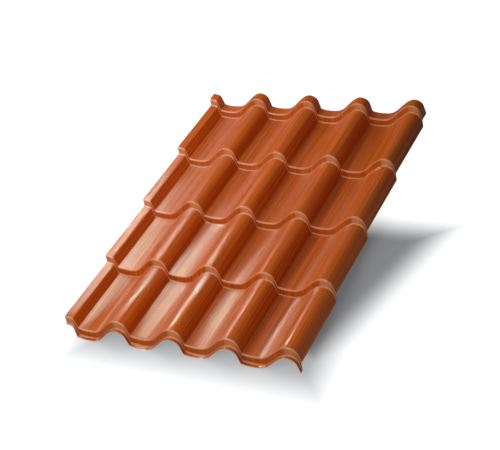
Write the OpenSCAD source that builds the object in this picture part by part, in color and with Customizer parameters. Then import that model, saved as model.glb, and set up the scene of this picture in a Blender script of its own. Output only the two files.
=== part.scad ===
// Pressed metal roof tile sheet, lying on its pans.
// Millimetres. X runs across the sheet, Y up the roof slope, Z up.
// The origin is the bottom centre of the sheet's bounding box.

/* [Sheet] */
// Number of waves side by side
waves = 4; // [2:1:4]
// Number of full tile rows up the slope
rows = 4; // [1:1:4]
// Steel thickness with its paint
sheet_t = 0.5; // [0.4:0.05:0.8]
// Distance from one wave to the next
wave_pitch = 256.25; // [230:0.25:280]
// Distance from one step to the next, equal to the batten spacing
row_pitch = 350; // [300:5:400]

/* [Wave] */
// Height of the crest above the sharp valley fold
crest_h = 76; // [60:1:85]
// Depth of the pan below the sharp valley fold
pan_depth = 10; // [6:0.5:14]
// Distance from the valley fold to the flat of the pan
pan_lead = 52; // [40:1:60]
// Width of the flat strip at the bottom of the pan
pan_flat_w = 14; // [6:1:18]
// Radius that turns the pan up into the rising side
pan_r = 82; // [60:1:95]
// Slope of the long rising side
rise_angle = 41.5; // [38:0.5:46]
// Radius of the shoulder that eases the rising side over towards the crest
shoulder_r = 142; // [100:1:160]
// Slope at which the shoulder meets the crest
shoulder_angle = 26; // [22:1:30]
// Radius of the crest on its rising side
crest_r = 46; // [36:1:54]
// Slope of the steep flank
flank_angle = 86; // [80:1:88]
// Bend radius of the sharp valley fold
fold_r = 3; // [2:0.5:4]

/* [Side lap] */
// Width of the underlap hook left of the first fold
hook_w = 37; // [30:1:40]
// How far the outer edge of the hook lies below the crest that covers it
hook_drop = 11; // [8:0.5:14]
// Fall of the hook's shelf towards the first flank
shelf_angle = 17.5; // [12:0.5:22]
// Bend radius between the hook's shelf and the first flank
hook_r = 8; // [5:1:14]
// How far the front end of the hook is trimmed back at its top, to clear the sheets it laps
front_trim = 10; // [2:1:14]
// How far the back end of the hook is trimmed back at its top
back_trim = 4; // [2:1:14]

/* [Steps] */
// Height of each pressed step
step_h = 31.5; // [15:0.5:35]
// How far the foot of a step lies in front of its top
step_lean = 7; // [4:0.5:12]
// Outside bend radius along the top of a step
top_bend_r = 5; // [3:0.5:8]
// Inside bend radius along the foot of a step
foot_bend_r = 4; // [2:0.5:6]
// Length of the front lip beyond the foot of the first step
lip_l = 17; // [5:1:25]
// Length of the top end beyond the last step
tail_l = 51; // [30:1:80]

/* [Colour] */
// Colour of the painted sheet
sheet_color = "#b5501e";

/* [Hidden] */

// Turn of one facet on the large curves, and the least facets on a small bend
facet_turn = 13;
bend_facets = 2;
// Coordinates lie on this grid, so that every facet is truly flat
grid_step = 0.001;
// Extra length at each end that the shears cut off
shear_waste = 5;

// Fall of a row from its front edge to the foot of the next step
row_fall = step_h / (row_pitch - step_lean);
// Curve that leads from the valley fold down to the flat of the pan
lead_turn = 2 * atan(pan_depth / pan_lead);
lead_r = pan_lead / sin(lead_turn);
// Ends of the straight rising side, and the place of the crest
rise_x = pan_lead + pan_flat_w + pan_r * sin(rise_angle);
rise_z = -pan_depth + pan_r * (1 - cos(rise_angle));
turn_z = crest_h - crest_r * (1 - cos(shoulder_angle));
shoulder_z = turn_z - shoulder_r * (cos(shoulder_angle) - cos(rise_angle));
shoulder_x = rise_x + (shoulder_z - rise_z) / tan(rise_angle);
turn_x = shoulder_x + shoulder_r * (sin(rise_angle) - sin(shoulder_angle));
crest_x = turn_x + crest_r * sin(shoulder_angle);
// Crest radius on the steep side, which closes the wave on its pitch
steep_r = (wave_pitch - crest_h / tan(flank_angle) - crest_x) / tan(flank_angle / 2);
// Shelf of the hook, which falls from its outer edge to the corner where it meets the first flank
hook_top = crest_h - hook_drop;
corner_x = (hook_w * tan(shelf_angle) - hook_top) / (tan(flank_angle) - tan(shelf_angle));
corner_z = -corner_x * tan(flank_angle);
corner_back = hook_r * tan((flank_angle - shelf_angle) / 2);
corner_cx = corner_x - corner_back * cos(shelf_angle) - hook_r * sin(shelf_angle);
corner_cz = corner_z + corner_back * sin(shelf_angle) - hook_r * cos(shelf_angle);

function facets(turn) = max(bend_facets, ceil(abs(turn) / facet_turn));

// Points of an arc about [cx, cz], from one heading to another.
// Heading 0 runs level, and headings grow as the path climbs.
function crown(cx, cz, r, a0, a1) =
    let (n = facets(a1 - a0))
    [for (i = [0:n]) let (a = a0 + (a1 - a0) * i / n) [cx - r * sin(a), cz + r * cos(a)]];
function bowl(cx, cz, r, a0, a1) =
    let (n = facets(a1 - a0))
    [for (i = [0:n]) let (a = a0 + (a1 - a0) * i / n) [cx + r * sin(a), cz - r * cos(a)]];

// The bend that replaces the corner b between a and c
function bend(a, b, c, r) =
    let (u = (a - b) / norm(a - b), v = (c - b) / norm(c - b),
         half = acos(u * v) / 2,
         back = r / tan(half),
         mid = (u + v) / norm(u + v),
         centre = b + mid * r / sin(half),
         p = b + u * back - centre, q = b + v * back - centre,
         turn = 180 - 2 * half)
    [for (i = [0:bend_facets]) let (s = i / bend_facets)
        centre + (p * sin(turn * (1 - s)) + q * sin(turn * s)) / sin(turn)];

function shift_x(pts, d) = [for (p = pts) [p[0] + d, p[1]]];

// One wave: from its valley fold, through pan and crest, to the start of the steep flank
pan_start = bowl(pan_lead, lead_r - pan_depth, lead_r, -lead_turn, 0);
wave = concat(
    [for (i = [1:len(pan_start) - 1]) pan_start[i]],
    bowl(pan_lead + pan_flat_w, pan_r - pan_depth, pan_r, 0, rise_angle),
    crown(shoulder_x + shoulder_r * sin(rise_angle), shoulder_z - shoulder_r * cos(rise_angle),
        shoulder_r, rise_angle, shoulder_angle),
    [for (i = [1:facets(shoulder_angle)])
        crown(crest_x, crest_h - crest_r, crest_r, shoulder_angle, 0)[i]],
    [for (i = [1:facets(flank_angle)])
        crown(crest_x, crest_h - steep_r, steep_r, 0, -flank_angle)[i]]);
hook = concat(
    [[-hook_w, hook_top]],
    crown(corner_cx, corner_cz, hook_r, -shelf_angle, -flank_angle));

// The rounded valley fold before wave k
function fold(k) =
    shift_x(bend(
        k == 0 ? hook[len(hook) - 1] : wave[len(wave) - 1] - [wave_pitch, 0],
        [0, 0], wave[0], fold_r), k * wave_pitch);

cross_section = concat(
    hook,
    [for (k = [0:waves - 1]) each concat(fold(k), shift_x(wave, k * wave_pitch))],
    [[waves * wave_pitch, 0]]);

// One step with its two bends; the path runs from the front up the slope
function foot(i) = [i * row_pitch - step_lean, 0];
function top(i) = [i * row_pitch, step_h];
front_y = foot(0)[0] - lip_l;
back_y = top(rows)[0] + tail_l;
front_end = [front_y - shear_waste, (lip_l + shear_waste) * row_fall];
back_end = [back_y + shear_waste, step_h - (tail_l + shear_waste) * row_fall];
long_section = concat(
    [front_end],
    [for (i = [0:rows]) each concat(
        bend(i == 0 ? front_end : top(i - 1), foot(i), top(i), foot_bend_r),
        bend(foot(i), top(i), i == rows ? back_end : foot(i + 1), top_bend_r))],
    [back_end]);

function heading(a, b) = (b - a) / norm(b - a);
function below(d) = [d[1], -d[0]];

// Offsets that lay a second line one thickness under pts; the ends are cut along the given directions
function offsets(pts, t, cut0, cut1) =
    let (n = len(pts))
    [for (i = [0:n - 1])
        let (a = below(heading(pts[max(i - 1, 0)], pts[max(i, 1)])),
             b = below(heading(pts[min(i, n - 2)], pts[min(i + 1, n - 1)])))
        i == 0 ? cut0 * t / (cut0 * b)
        : i == n - 1 ? cut1 * t / (cut1 * a)
        : (a + b) * t / (1 + a * b)];

function snap(v) = round(v / grid_step) * grid_step;
function snapped(pts) = [for (p = pts) [snap(p[0]), snap(p[1])]];

down = [0, -1];
inward = [-1, 0];
x_mid = snap((waves * wave_pitch - hook_w) / 2);
y_mid = snap((front_y + back_y) / 2);
across = snapped(cross_section);
along = snapped(long_section);
across_under = snapped(cross_section + offsets(cross_section, sheet_t, down, inward));
along_under = snapped([for (p = long_section + offsets(long_section, sheet_t, down, down)) p + [0, sheet_t]]);
floor_z = min([for (p = across_under) p[1]]) + min([for (q = along_under) q[1]]);

// The pressed sheet before its ends are cut
module pressed_sheet() {
    na = len(across);
    nl = len(along);
    half = na * nl;
    corners = concat(
        [for (q = along, p = across)
            [p[0] - x_mid, q[0] - y_mid, p[1] + q[1] - floor_z]],
        [for (q = along_under, p = across_under)
            [p[0] - x_mid, q[0] - y_mid, p[1] + q[1] - floor_z]]);
    faces = concat(
        [for (j = [0:nl - 2], i = [0:na - 2])
            let (a = j * na + i) [a, a + na, a + na + 1, a + 1]],
        [for (j = [0:nl - 2], i = [0:na - 2])
            let (a = half + j * na + i) [a, a + 1, a + na + 1, a + na]],
        [for (i = [0:na - 2]) [i, i + 1, half + i + 1, half + i]],
        [for (i = [0:na - 2], a = (nl - 1) * na + i) [a + 1, a, half + a, half + a + 1]],
        [for (j = [0:nl - 2], a = j * na) [a + na, a, half + a, half + a + na]],
        [for (j = [0:nl - 2], a = j * na + na - 1) [a, a + na, half + a + na, half + a]]);
    polyhedron(corners, faces);
}

// Wedge off one end of the hook: nothing at the valley fold, the full trim at the hook's top.
// The trim is measured inwards from the end, so it is negative at the back end.
module hook_end_trim(end_y, fold_z, trim) {
    height = crest_h + pan_depth + step_h;
    translate([-x_mid - 2 * hook_w, end_y, fold_z - floor_z])
        rotate([90, 0, 90])
            linear_extrude(2 * hook_w)
                polygon([[0, 0], [trim, hook_top], [trim, height],
                    [-sign(trim) * shear_waste, height], [-sign(trim) * shear_waste, 0]]);
}

module roofing_sheet() {
    width = waves * wave_pitch + hook_w;
    length = back_y - front_y;
    height = crest_h + pan_depth + step_h;
    color(sheet_color) difference() {
        intersection() {
            pressed_sheet();
            translate([-width, front_y - y_mid, -height])
                cube([2 * width, length, 3 * height]);
        }
        hook_end_trim(front_y - y_mid, lip_l * row_fall, front_trim);
        hook_end_trim(back_y - y_mid, step_h - tail_l * row_fall, -back_trim);
    }
}

roofing_sheet();
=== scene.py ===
"""Looks of a pressed and painted roof tile sheet: its smooth shape, finishes, floor, lights and camera."""

import math

import bmesh
import bpy
import numpy as np
from mathutils import Matrix, Quaternion, Vector


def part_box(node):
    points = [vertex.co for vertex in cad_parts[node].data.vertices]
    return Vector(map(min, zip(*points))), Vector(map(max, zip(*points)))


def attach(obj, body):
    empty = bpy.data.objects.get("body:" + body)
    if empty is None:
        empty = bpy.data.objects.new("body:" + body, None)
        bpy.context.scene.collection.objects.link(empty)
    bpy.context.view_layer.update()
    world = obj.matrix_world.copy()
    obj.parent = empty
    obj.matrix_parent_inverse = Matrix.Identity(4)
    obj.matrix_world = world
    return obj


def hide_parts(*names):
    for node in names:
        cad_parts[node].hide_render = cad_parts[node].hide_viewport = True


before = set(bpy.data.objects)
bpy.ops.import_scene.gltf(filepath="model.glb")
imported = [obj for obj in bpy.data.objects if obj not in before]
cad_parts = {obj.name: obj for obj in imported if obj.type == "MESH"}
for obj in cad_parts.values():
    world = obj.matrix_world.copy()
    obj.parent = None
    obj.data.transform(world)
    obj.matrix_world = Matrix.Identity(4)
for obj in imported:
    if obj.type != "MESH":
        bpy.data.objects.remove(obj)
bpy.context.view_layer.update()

# ---------------------------------------------------------------- sizes of the sheet, in metres and degrees
WAVES = 4
ROWS = 4
STEEL = 0.0005
WAVE_PITCH = 0.25625
ROW_PITCH = 0.350

CREST_H = 0.076
PAN_DEPTH = 0.010
PAN_LEAD = 0.052
PAN_FLAT = 0.014
PAN_R = 0.082
RISE_ANGLE = 41.5
SHOULDER_R = 0.142
SHOULDER_ANGLE = 26
CREST_R = 0.046
FLANK_ANGLE = 86
FOLD_R = 0.003

HOOK_W = 0.037
HOOK_DROP = 0.011
SHELF_ANGLE = 17.5
HOOK_R = 0.008
FRONT_TRIM = 0.010
BACK_TRIM = 0.004

STEP_H = 0.0315
STEP_LEAN = 0.007
TOP_BEND_R = 0.005
FOOT_BEND_R = 0.004
LIP = 0.017
TAIL = 0.051

# Most degrees from one point of an arc to the next, on the large curves and on the small bends
WIDE_TURN = 5.0
TIGHT_TURN = 9.0
# Longest cell of a straight, and the short cell that guards each end, at most this share of the straight
LONGEST_CELL = 0.045
GUARD_CELL = 0.0015
GUARD_SHARE = 0.25
# Points closer than this are one point
SAME_PLACE = 1e-6

# The press draws the steel up a little in front of each step
DRAWN_UP_LENGTH = 0.042
DRAWN_UP_HEIGHT = 0.006
DRAWN_UP_CELLS = 7

# Degrees that tell a step from the falling rows: the turn at a point of its bends, and its face's heading
BEND_TURN = 2
FACE_HEADING = 30

# How pale the paint is, as pairs of a heading across the waves and a level: on the bends of a step,
# and on its face, where it also fades in between two heights. A little of it is paint whitened where the
# press stretched it; most is painted highlight, lighter on some headings because of how light falls.
BEND_STRETCH_AND_HIGHLIGHT = ((-12, 1.0), (6, 0.8), (24, 0.35), (36, 0.2))
FACE_STRETCH_AND_HIGHLIGHT = ((-60, 0.35), (-20, 0.55), (8, 0.4), (24, 0.0))
FACE_FADE = ((0.02, 0.0), (0.05, 1.0))
# The crests, where the paint is smoother, as pairs of a height and a level
CREST_FADE = ((0.055, 0.0), (0.07, 1.0))


# ---------------------------------------------------------------- outlines
# An outline is an array with a row for each point: place, height and heading in degrees.
def arc(place, height, radius, start, end, turn):
    """Points round a centre; a positive radius curves over a crest, a negative one through a bowl."""
    count = max(2, math.ceil(abs(end - start) / turn))
    headings = np.linspace(start, end, count + 1)
    angles = np.radians(headings)
    return np.column_stack([place - radius * np.sin(angles), height + radius * np.cos(angles), headings])


def straight(start, end):
    """Points along a straight, with short cells at both ends so that its shading stays flat."""
    run = math.dist(start[:2], end[:2])
    guard = min(GUARD_CELL / run, GUARD_SHARE)
    count = max(1, math.ceil(run / LONGEST_CELL))
    steps = np.concatenate([[0, guard], np.linspace(0, 1, count + 1)[1:-1], [1 - guard, 1]])
    heading = math.degrees(math.atan2(end[1] - start[1], end[0] - start[0]))
    places = np.outer(1 - steps, start[:2]) + np.outer(steps, end[:2])
    return np.column_stack([places, np.full(len(steps), heading)])


def fillet(before, corner, after, radius):
    """The bend that rounds a corner between two straights."""
    before, corner, after = (np.array(p[:2], float) for p in (before, corner, after))
    inward, outward = corner - before, after - corner
    start, end = (math.degrees(math.atan2(way[1], way[0])) for way in (inward, outward))
    back = radius * math.tan(math.radians(abs(end - start)) / 2)
    first = corner - inward / np.linalg.norm(inward) * back
    bend_r = radius if end < start else -radius
    centre = first + bend_r * np.array([math.sin(math.radians(start)), -math.cos(math.radians(start))])
    return arc(centre[0], centre[1], bend_r, start, end, TIGHT_TURN)


def joined(*stretches):
    """One outline from its stretches, with a straight wherever two of them don't meet."""
    outline = [stretches[0]]
    for stretch in stretches[1:]:
        gap = math.dist(outline[-1][-1][:2], stretch[0][:2])
        if gap > GUARD_CELL:
            outline.append(straight(outline[-1][-1], stretch[0])[1:-1])
        outline.append(stretch if gap > SAME_PLACE else stretch[1:])
    return np.concatenate(outline)


def moved(outline, shift):
    """The outline at another place."""
    return outline + [shift, 0, 0]


def wave_outline():
    """One wave from the end of its valley fold to the start of its steep flank, with the fold at [0, 0]."""
    rise, shoulder, flank = (math.radians(a) for a in (RISE_ANGLE, SHOULDER_ANGLE, FLANK_ANGLE))
    lead_turn = 2 * math.atan(PAN_DEPTH / PAN_LEAD)
    lead_r = PAN_LEAD / math.sin(lead_turn)
    rise_x = PAN_LEAD + PAN_FLAT + PAN_R * math.sin(rise)
    rise_z = -PAN_DEPTH + PAN_R * (1 - math.cos(rise))
    turn_z = CREST_H - CREST_R * (1 - math.cos(shoulder))
    shoulder_z = turn_z - SHOULDER_R * (math.cos(shoulder) - math.cos(rise))
    shoulder_x = rise_x + (shoulder_z - rise_z) / math.tan(rise)
    shoulder_cx = shoulder_x + SHOULDER_R * math.sin(rise)
    crest_x = shoulder_cx - (SHOULDER_R - CREST_R) * math.sin(shoulder)
    steep_r = (WAVE_PITCH - CREST_H / math.tan(flank) - crest_x) / math.tan(flank / 2)
    shoulder_cz = shoulder_z - SHOULDER_R * math.cos(rise)
    return joined(
        arc(PAN_LEAD, lead_r - PAN_DEPTH, -lead_r, -math.degrees(lead_turn), 0, WIDE_TURN),
        arc(PAN_LEAD + PAN_FLAT, PAN_R - PAN_DEPTH, -PAN_R, 0, RISE_ANGLE, WIDE_TURN),
        arc(shoulder_cx, shoulder_cz, SHOULDER_R, RISE_ANGLE, SHOULDER_ANGLE, WIDE_TURN),
        arc(crest_x, CREST_H - CREST_R, CREST_R, SHOULDER_ANGLE, 0, WIDE_TURN),
        arc(crest_x, CREST_H - steep_r, steep_r, 0, -FLANK_ANGLE, WIDE_TURN),
    )


def hook_outline():
    """The underlap hook left of the first fold: a falling shelf, bent down into the first flank."""
    shelf_fall, flank_fall = math.tan(math.radians(SHELF_ANGLE)), math.tan(math.radians(FLANK_ANGLE))
    edge = (-HOOK_W, CREST_H - HOOK_DROP)
    corner_x = (HOOK_W * shelf_fall - edge[1]) / (flank_fall - shelf_fall)
    shoulder = fillet(edge, (corner_x, -corner_x * flank_fall), (0, 0), HOOK_R)
    return np.concatenate([straight(edge, shoulder[0])[:-1], shoulder])


def cross_outline():
    """The whole section across the waves."""
    wave, hook = wave_outline(), hook_outline()
    stretches = [hook]
    for k in range(WAVES):
        flank_top = hook[-1] if k == 0 else moved(wave, -WAVE_PITCH)[-1]
        fold = fillet(flank_top, (0, 0), wave[1], FOLD_R)
        stretches += [moved(fold, k * WAVE_PITCH), moved(wave[1:], k * WAVE_PITCH)]
    return joined(*stretches, np.array([[WAVES * WAVE_PITCH, 0, -FLANK_ANGLE]]))


def foot(i):
    """The bottom of step i, before it is rounded."""
    return (i * ROW_PITCH - STEP_LEAN, 0)


def top(i):
    """The top of step i, before it is rounded."""
    return (i * ROW_PITCH, STEP_H)


def slope_outline():
    """The whole section up the slope: a lip, then steps and falling rows, then the top end."""
    fall = STEP_H / (ROW_PITCH - STEP_LEAN)
    front = (foot(0)[0] - LIP, LIP * fall)
    back = (top(ROWS)[0] + TAIL, STEP_H - TAIL * fall)
    heading = -math.degrees(math.atan(fall))
    stretches = [np.array([[*front, heading]])]
    for i in range(ROWS + 1):
        if i > 0:
            ahead = np.linspace(DRAWN_UP_LENGTH, FOOT_BEND_R, DRAWN_UP_CELLS)[:, None]
            stretches.append(np.array([[*foot(i), heading]]) + ahead * [-1, fall, 0])
        stretches.append(fillet(front if i == 0 else top(i - 1), foot(i), top(i), FOOT_BEND_R))
        stretches.append(fillet(foot(i), top(i), back if i == ROWS else foot(i + 1), TOP_BEND_R))
    return joined(*stretches, np.array([[*back, heading]]))


def length_along(outline):
    """Length of steel from the start of an outline to each of its points."""
    legs = np.hypot(*np.diff(outline[:, :2], axis=0).T)
    return np.concatenate([[0], np.cumsum(legs)])


def level_at(values, stops):
    """The level at each value, from stops of a value and its level."""
    return np.interp(values, *zip(*stops))


def stretch_and_highlight(across, slope):
    """How pale the paint is, along both bends of a step and on its face near crests: a little real
    whitening of stretched paint, mostly painted highlight.
    """
    turning = np.abs(np.gradient(slope[:, 2])) > BEND_TURN
    steep = np.abs(slope[:, 2]) > FACE_HEADING
    bends = level_at(across[:, 2], BEND_STRETCH_AND_HIGHLIGHT)
    face = level_at(across[:, 2], FACE_STRETCH_AND_HIGHLIGHT) * level_at(across[:, 1], FACE_FADE)
    return np.where(turning[:, None], bends, np.where(steep[:, None], face, 0.0))


def drawn_up_height(slope):
    """Height by which the steel is drawn up in front of the steps."""
    feet = np.arange(1, ROWS + 1) * ROW_PITCH - STEP_LEAN
    nearness = np.clip(1 + (slope[:, :1] - feet) / DRAWN_UP_LENGTH, 0, 1)
    return DRAWN_UP_HEIGHT * (nearness**2).sum(axis=1)


# ---------------------------------------------------------------- the sheet
def placed(name, data):
    """A new object in the scene, for a mesh, a lamp or a camera."""
    body = bpy.data.objects.new(name, data)
    bpy.context.scene.collection.objects.link(body)
    return body


def trim_hook(places, heights, across, slope):
    """Draws back both ends of the hook: nothing at the fold, the full trim at the hook's top."""
    hook = np.where(across[:, 0] < 0)[0]
    lift = np.clip(across[hook, 1] / (CREST_H - HOOK_DROP), 0, 1)
    fall = math.tan(math.radians(slope[0, 2]))
    lip_rows = np.where(slope[:, 0] < -STEP_LEAN - FOOT_BEND_R)[0]
    tail_rows = np.where(slope[:, 0] > ROWS * ROW_PITCH + TOP_BEND_R)[0]
    for rows, edge, inner, trim in (
        (lip_rows, slope[0, 0], slope[lip_rows[-1], 0], FRONT_TRIM),
        (tail_rows, slope[-1, 0], slope[tail_rows[0], 0], -BACK_TRIM),
    ):
        for row in rows:
            share = (slope[row, 0] - inner) / (edge - inner)
            shift = trim * lift * share
            places[row, hook] += shift
            heights[row, hook] += shift * fall


def face_normals(across, slope):
    """Which way each point of the painted face looks."""
    tilt_x = np.radians(across[:, 2])
    tilt_y = np.radians(slope[:, 2])[:, None]
    normal = np.stack([
        -np.sin(tilt_x) * np.cos(tilt_y),
        -np.cos(tilt_x) * np.sin(tilt_y),
        np.cos(tilt_x) * np.cos(tilt_y),
    ], axis=-1)
    return normal / np.linalg.norm(normal, axis=-1, keepdims=True)


def sheet_points(across, slope):
    """The points of the painted face and, after them, those of the backing face, placed in the frame."""
    low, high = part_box("roofing_sheet")
    wide, long = len(across), len(slope)
    x = np.tile(across[:, 0], (long, 1))
    y = np.tile(slope[:, 0][:, None], (1, wide))
    z = across[:, 1] + slope[:, 1][:, None]
    trim_hook(y, z, across, slope)
    origin = np.array([low[0] - across[0, 0], low[1] - slope[0, 0], PAN_DEPTH + STEEL])
    face = np.stack([x, y, z], axis=-1) + origin
    backing = face - STEEL * face_normals(across, slope)
    backing[:, -1, 0] = face[:, -1, 0]
    return np.clip(np.concatenate([face.reshape(-1, 3), backing.reshape(-1, 3)]), low, high)


def sheet_faces(wide, long):
    """The four-sided faces of the closed sheet: first the painted ones, then the backing and the rim."""
    grid = np.arange(wide * long).reshape(long, wide)
    under = grid + wide * long

    def quads(a, b, c, d):
        return np.stack([a, b, c, d], axis=-1).reshape(-1, 4)

    painted = quads(grid[:-1, :-1], grid[:-1, 1:], grid[1:, 1:], grid[1:, :-1])
    backing = quads(under[:-1, :-1], under[1:, :-1], under[1:, 1:], under[:-1, 1:])
    rim = np.concatenate([
        quads(grid[0, 1:], grid[0, :-1], under[0, :-1], under[0, 1:]),
        quads(grid[-1, :-1], grid[-1, 1:], under[-1, 1:], under[-1, :-1]),
        quads(grid[:-1, 0], grid[1:, 0], under[1:, 0], under[:-1, 0]),
        quads(grid[1:, -1], grid[:-1, -1], under[:-1, -1], under[1:, -1]),
    ])
    return painted, backing, rim


def store_coil_marks_and_highlights(mesh, across, slope):
    """Stores where each point lay on the flat coil, what the press did to it there, and where a highlight
    is painted along the steps.
    """
    wide, long = len(across), len(slope)
    coil = np.zeros((long, wide, 3))
    coil[..., 0] = length_along(across)
    coil[..., 1] = length_along(slope)[:, None]
    for attribute, kind, field, values in (
        ("coil", "FLOAT_VECTOR", "vector", coil),
        ("stretch_highlight", "FLOAT", "value", stretch_and_highlight(across, slope)),
        ("drawn_up", "FLOAT", "value", np.tile(drawn_up_height(slope)[:, None], (1, wide))),
        ("crest", "FLOAT", "value", np.tile(level_at(across[:, 1], CREST_FADE), (long, 1))),
    ):
        stored = mesh.attributes.new(attribute, kind, "POINT")
        stored.data.foreach_set(field, np.tile(values.reshape(-1), 2).astype(np.float32))


def sharpen_rim(mesh):
    """Keeps the edges between two finishes sharp."""
    shaped = bmesh.new()
    shaped.from_mesh(mesh)
    for edge in shaped.edges:
        edge.smooth = len({face.material_index for face in edge.link_faces}) == 1
    shaped.to_mesh(mesh)
    shaped.free()


def pressed_sheet(name):
    """The sheet as one closed mesh with three finishes: painted face, backing face and cut edges."""
    across, slope = cross_outline(), slope_outline()
    faces = sheet_faces(len(across), len(slope))
    mesh = bpy.data.meshes.new(name)
    mesh.from_pydata(sheet_points(across, slope).tolist(), [], np.concatenate(faces).tolist())
    finish_of_face = np.repeat([0, 1, 2], [len(part) for part in faces]).astype(np.int32)
    mesh.polygons.foreach_set("material_index", finish_of_face)
    mesh.polygons.foreach_set("use_smooth", finish_of_face < 2)
    store_coil_marks_and_highlights(mesh, across, slope)
    sharpen_rim(mesh)
    mesh.validate()
    return placed(name, mesh)


# ---------------------------------------------------------------- finishes
class Signal:
    """The output of a node. Arithmetic on it adds Math nodes."""

    def __init__(self, finish, socket):
        self.finish, self.socket = finish, socket

    def maths(self, operation, first, second):
        return self.finish.node("Math", 0, {"operation": operation}, {0: first, 1: second})

    def __add__(self, other):
        return self.maths("ADD", self, other)

    def __sub__(self, other):
        return self.maths("SUBTRACT", self, other)

    def __rsub__(self, other):
        return self.maths("SUBTRACT", other, self)

    def __mul__(self, other):
        return self.maths("MULTIPLY", self, other)

    __radd__ = __add__
    __rmul__ = __mul__

    def highest(self, other):
        """The larger of the two at each point."""
        return self.maths("MAXIMUM", self, other)

    def lowest(self, other):
        """The smaller of the two at each point."""
        return self.maths("MINIMUM", self, other)


class Finish:
    """Builds the nodes of one material, or of the world."""

    def __init__(self, name, world=False):
        self.owner = (bpy.data.worlds if world else bpy.data.materials).new(name)
        self.owner.use_nodes = True
        self.tree = self.owner.node_tree
        self.tree.nodes.clear()

    def node(self, kind, output, settings=None, values=None):
        """Adds a node: its settings first, then the value or the link of each socket named."""
        made = self.tree.nodes.new("ShaderNode" + kind)
        for name, value in (settings or {}).items():
            setattr(made, name, value)
        for name, value in (values or {}).items():
            if isinstance(value, Signal):
                self.tree.links.new(value.socket, made.inputs[name])
            else:
                made.inputs[name].default_value = value
        return Signal(self, made.outputs[output]) if output is not None else made

    def mixed(self, factor, first, second):
        """A colour between two colours."""
        return self.node("Mix", 2, {"data_type": "RGBA"}, {0: factor, 6: first, 7: second})

    def attribute(self, name, output="Fac"):
        """A value or a vector that the mesh stores at each point."""
        return self.node("Attribute", output, {"attribute_name": name})

    def spread(self, value, low, high):
        """Nothing at the low level, one at the high level."""
        return self.node("MapRange", "Result", {}, {"Value": value, "From Min": low, "From Max": high})

    def eased(self, value, low, high):
        """As spread, with a soft start and end."""
        sockets = {"Value": value, "From Min": low, "From Max": high}
        return self.node("MapRange", "Result", {"interpolation_type": "SMOOTHSTEP"}, sockets)

    def noise(self, coordinates, scale, detail, roughness):
        """Soft random levels from nothing to one."""
        sockets = {"Vector": coordinates, "Scale": scale, "Detail": detail, "Roughness": roughness}
        return self.node("TexNoise", "Fac", {}, sockets)

    def streaks(self, coordinates, cells, detail, roughness):
        """As noise, with a number of cells of its own along each axis."""
        stretched = self.node("VectorMath", 0, {"operation": "MULTIPLY"}, {0: coordinates, 1: cells})
        return self.noise(stretched, 1.0, detail, roughness)

    def bump(self, height):
        """The surface tilted as a relief of this height, in metres, would tilt it."""
        return self.node("Bump", "Normal", {}, {"Height": height, "Distance": 1.0, "Strength": 1.0})

    def output(self, shader, kind="OutputMaterial"):
        """Finishes the nodes and gives their material or world."""
        self.node(kind, None, {}, {"Surface": shader})
        return self.owner


def colour(code):
    """The linear colour of a hex code."""
    parts = [int(code[i : i + 2], 16) / 255 for i in (1, 3, 5)]
    return (*[c / 12.92 if c <= 0.04045 else ((c + 0.055) / 1.055) ** 2.4 for c in parts], 1)


DARK_PAINT = colour("#AA460A")
BRIGHT_PAINT = colour("#DC6B1C")
CLOUDED_PAINT = colour("#C45B12")
# Paler colour along the steps: partly paint whitened by stretching, mostly painted highlight.
STRETCH_AND_HIGHLIGHT_PAINT = colour("#EFAE80")
BACKING_LACQUER = colour("#B9B6AE")
CLOUDED_LACQUER = colour("#A5A39C")
SCUFFED_LACQUER = colour("#8F8D88")
DARK_STEEL = colour("#7A6A60")
BRIGHT_STEEL = colour("#B7A79C")

# Cells of noise in a metre across the waves, up the slope and through the steel
FINE_STREAKS = (180, 1.3, 1)
BROAD_STREAKS = (48, 0.8, 1)
BACKING_STREAKS = (180, 4, 1)
SHEAR_MARKS = (400, 400, 60)
# Cells of noise in a metre, the same in every direction
PAINT_GRAIN = 330.0
PAINT_CLOUD = 7.0
BACKING_CLOUD = 14.0
FLOOR_GRAIN = 60.0
# Heights of the relief, in metres
FINE_RELIEF = 0.00012
BROAD_RELIEF = 0.0004
GRAIN_RELIEF = 0.000006
BACKING_RELIEF = 0.0002
SHEAR_RELIEF = 0.0001


def terracotta_paint():
    """Glossy coil paint with long roller streaks and fine grain, paler along the steps: partly paint
    whitened where the press stretched it, mostly painted highlight.
    """
    paint = Finish("terracotta_paint")
    coil = paint.attribute("coil", "Vector")
    stretch_highlight = paint.attribute("stretch_highlight")
    drawn_up = paint.attribute("drawn_up")
    crest = paint.attribute("crest")
    fine = paint.streaks(coil, FINE_STREAKS, detail=2.0, roughness=0.6)
    broad = paint.streaks(coil, BROAD_STREAKS, detail=1.0, roughness=0.5)
    grain = paint.noise(coil, PAINT_GRAIN, detail=2.0, roughness=0.6)
    cloud = paint.noise(coil, PAINT_CLOUD, detail=3.0, roughness=0.55)

    streaks = paint.spread(0.55 * fine + 0.30 * broad + 0.15 * grain, 0.38, 0.62)
    body = paint.mixed(streaks, DARK_PAINT, BRIGHT_PAINT)
    body = paint.mixed(cloud * 0.3, body, CLOUDED_PAINT)
    # Painted highlight along the bends and faces of the steps, with a little real whitening of stretched
    # paint.
    body = paint.mixed(stretch_highlight * (0.6 + 0.5 * fine), body, STRETCH_AND_HIGHLIGHT_PAINT)
    relief = drawn_up + FINE_RELIEF * fine + BROAD_RELIEF * broad * (1 - 0.8 * crest)
    shader = paint.node("BsdfPrincipled", "BSDF", {}, {
        "Base Color": body,
        "Roughness": 0.24 + 0.05 * fine - 0.08 * crest,
        "IOR": 1.5,
        "Normal": paint.bump(relief + GRAIN_RELIEF * grain),
    })
    return paint.output(shader)


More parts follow.
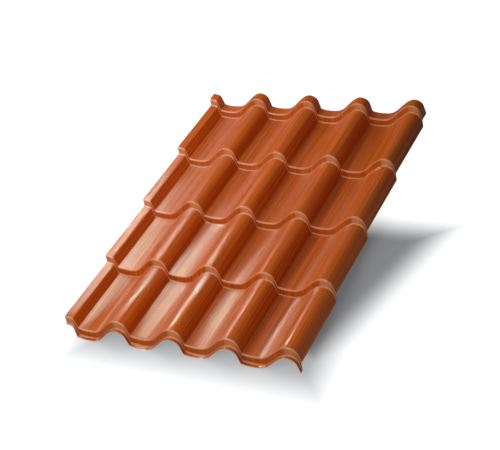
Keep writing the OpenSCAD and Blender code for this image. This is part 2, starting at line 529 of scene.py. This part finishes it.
def backing_coat():
    """Thin satin backing lacquer on the batten side, with scuffs from the rollers."""
    back = Finish("backing_lacquer")
    coil = back.attribute("coil", "Vector")
    cloud = back.noise(coil, BACKING_CLOUD, detail=4.0, roughness=0.6)
    streaks = back.streaks(coil, BACKING_STREAKS, detail=3.0, roughness=0.6)
    body = back.mixed(cloud, BACKING_LACQUER, CLOUDED_LACQUER)
    body = back.mixed(streaks * 0.35, body, SCUFFED_LACQUER)
    shader = back.node("BsdfPrincipled", "BSDF", {}, {
        "Base Color": body,
        "Roughness": 0.42 + 0.15 * streaks,
        "Normal": back.bump(BACKING_RELIEF * streaks),
    })
    return back.output(shader)


def cut_edge():
    """Sheared steel edge, with marks from the blade."""
    edge = Finish("cut_steel_edge")
    place = edge.node("TexCoord", "Object", {})
    shear = edge.streaks(place, SHEAR_MARKS, detail=3.0, roughness=0.6)
    shader = edge.node("BsdfPrincipled", "BSDF", {}, {
        "Base Color": edge.mixed(shear, DARK_STEEL, BRIGHT_STEEL),
        "Metallic": 0.8,
        "Roughness": 0.35 + 0.3 * shear,
        "Normal": edge.bump(SHEAR_RELIEF * shear),
    })
    return edge.output(shader)


# ---------------------------------------------------------------- floor and surroundings
WHITE = (1, 1, 1, 1)
BLACK = (0, 0, 0, 1)
FLOOR_HALF = 14.0
# The two greys of the floor under its glow, the grey that the sheet sees of it, and that of the studio
FLOOR_GREYS = (0.20, 0.21, 0.23, 1), (0.22, 0.23, 0.245, 1)
DULL_GREY = (0.24, 0.24, 0.24, 1)
STUDIO_GREY = (0.10, 0.10, 0.10, 1)

# Painted shadows on the floor, right of the sheet and in front of it: how much glow is left in one,
# and for each of its sides the way out of it, and where along that way it starts and ends to clear
RIGHT_SHADE = (0.11, (
    ((0, 1, 0), -0.02, 0.16),
    ((0.947, -0.321, 0), 0.66, 0.86),
    ((-1, 0, 0), -0.45, -0.33),
    ((0, -1, 0), 0.58, 0.80),
))
FRONT_SHADE = (0.33, (
    ((0, -1, 0), 0.68, 0.93),
    ((1, 0, 0), 0.50, 0.72),
    ((-1, 0, 0), 0.36, 0.60),
    ((0, 1, 0), -0.55, -0.25),
))


def glow_round(ground, place, glow_left, sides):
    """The floor's glow in and round a painted shadow with straight soft sides."""
    clear = 0.0
    for way, start, end in sides:
        beyond = ground.node("VectorMath", "Value", {"operation": "DOT_PRODUCT"}, {0: place, 1: way})
        clear = ground.eased(beyond, start, end).highest(clear)
    return glow_left + (1 - glow_left) * clear


def floor_finish():
    """Looks white away from its painted shadows, in which the sheet's own weak shadow also shows, but
    throws little light back on the sheet.
    """
    ground = Finish("pale_floor")
    place = ground.node("TexCoord", "Object", {})
    # The glow drops where a shadow is painted, right of the sheet and in front of it.
    glow = glow_round(ground, place, *RIGHT_SHADE).lowest(glow_round(ground, place, *FRONT_SHADE))
    grain = ground.noise(place, FLOOR_GRAIN, detail=3.0, roughness=0.6)
    matt = ground.node("BsdfDiffuse", "BSDF", {}, {"Color": ground.mixed(grain, *FLOOR_GREYS)})
    white = ground.mixed(glow, BLACK, WHITE)
    glowing = ground.node("Emission", "Emission", {}, {"Color": white, "Strength": 1.0})
    lit = ground.node("AddShader", "Shader", {}, {0: matt, 1: glowing})
    path = ground.node("LightPath", "Is Camera Ray", {})
    dull = ground.node("BsdfDiffuse", "BSDF", {}, {"Color": DULL_GREY})
    return ground.output(ground.node("MixShader", "Shader", {}, {0: path, 1: dull, 2: lit}))


def floor():
    """A level floor under the sheet, out to the horizon."""
    mesh = bpy.data.meshes.new("floor")
    h = FLOOR_HALF
    mesh.from_pydata([(-h, -h, 0), (h, -h, 0), (h, h, 0), (-h, h, 0)], [], [(0, 1, 2, 3)])
    mesh.materials.append(floor_finish())
    placed("floor", mesh)


def surroundings():
    """A studio that is dim all round and white only as a backdrop."""
    sky = Finish("studio", world=True)
    path = sky.node("LightPath", "Is Camera Ray", {})
    backdrop = sky.node("Background", "Background", {}, {"Color": sky.mixed(path, STUDIO_GREY, WHITE)})
    bpy.context.scene.world = sky.output(backdrop, "OutputWorld")


# ---------------------------------------------------------------- lamps
# Lamps that light the body colour: name, place, the point it faces, size, and radiance, where 1 is white
SOFTBOXES = (
    ("overhead_softbox", (-0.35, 0.1, 1.6), (-0.35, 0.1, 0), (1.2, 1.6), 2.2),
    ("left_softbox", (-1.6, 0.4, 1.15), (0, 0.4, 1.15), (0.9, 0.9), 2.2),
    ("back_softbox", (-0.9, 1.6, 1.15), (-0.9, 0, 1.15), (1.3, 0.9), 2.9),
    ("back_left_softbox", (-1.8, 1.5, 0.8), (0, 0, 0), (1.2, 0.8), 2.7),
    ("front_softbox", (-0.1, -1.6, 1.15), (-0.1, 0, 1.15), (1.3, 0.9), 3.8),
    ("right_softbox", (1.6, -0.8, 0.40), (0, -0.8, 0.40), (1.6, 0.6), 1.2),
    ("front_left_softbox", (-1.5, -1.6, 1.0), (0, 0, 0), (1.0, 0.8), 1.5),
)
# Lamps that face straight down and only draw a sheen: name, place, size, radiance and turn in degrees
SHEENS = (
    ("sheen_core", (-0.60, 0.12, 0.46), (0.58, 0.95), 6.2, 35),
    ("sheen_halo", (-1.7, 1.3, 0.46), (1.6, 1.4), 0.9, -32),
    ("sheen_low", (-6.2, 2.8, 0.5), (2.0, 7.2), 11.5, 19),
)
SHEEN_TINT = (0.95, 1, 0.78)


def lamp(name, place, aim, size, radiance, turn=0, sheen=False):
    """A rectangular lamp that faces aim. A sheen lamp casts no shadow, so it reaches every wave."""
    light = bpy.data.lights.new(name, "AREA")
    light.shape = "RECTANGLE"
    light.size, light.size_y = size
    light.energy = radiance * math.pi * size[0] * size[1]
    light.color = SHEEN_TINT if sheen else WHITE[:3]
    light.use_shadow = not sheen
    light.cycles.use_multiple_importance_sampling = not sheen
    body = placed(name, light)
    body.location = place
    facing = (Vector(aim) - Vector(place)).to_track_quat("-Z", "Y")
    body.rotation_euler = (facing @ Quaternion((0, 0, 1), math.radians(turn))).to_euler()
    body.visible_camera = False
    body.visible_diffuse = not sheen
    body.visible_glossy = sheen


def lights():
    """All the lamps."""
    for name, place, aim, size, radiance in SOFTBOXES:
        lamp(name, place, aim, size, radiance)
    for name, place, size, radiance, turn in SHEENS:
        below = (place[0], place[1], 0)
        lamp(name, place, below, size, radiance, turn, sheen=True)


# ---------------------------------------------------------------- camera
CAMERA_AIM = (0.0097, -0.0502, 0.05)
CAMERA_DISTANCE = 5.2346
# Degrees to the right of the sheet's front, above the floor, and about the line of sight
CAMERA_SIDE = 38.84
CAMERA_ELEVATION = 39.59
CAMERA_ROLL = -21.44
# Millimetres
LENS = 89.6
SENSOR = 36.0
# Nearest and farthest distance that the camera sees
CLIP = (0.1, 100)


def camera():
    """Looks down on the sheet from the right of its front."""
    side, lift = math.radians(CAMERA_SIDE), math.radians(CAMERA_ELEVATION)
    back = Vector((math.sin(side) * math.cos(lift), -math.cos(side) * math.cos(lift), math.sin(lift)))
    lens = bpy.data.cameras.new("camera")
    lens.sensor_width, lens.lens = SENSOR, LENS
    lens.clip_start, lens.clip_end = CLIP
    body = placed("camera", lens)
    body.location = Vector(CAMERA_AIM) + back * CAMERA_DISTANCE
    level = (-back).to_track_quat("-Z", "Y").to_matrix()
    body.rotation_euler = (level @ Matrix.Rotation(math.radians(CAMERA_ROLL), 3, "Z")).to_euler()
    bpy.context.scene.camera = body


# ---------------------------------------------------------------- put together
camera()
sheet = pressed_sheet("painted_sheet")
for finish in (terracotta_paint(), backing_coat(), cut_edge()):
    sheet.data.materials.append(finish)
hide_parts("roofing_sheet")
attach(sheet, "root")
floor()
surroundings()
lights()
bpy.context.scene.view_settings.view_transform = "Standard"
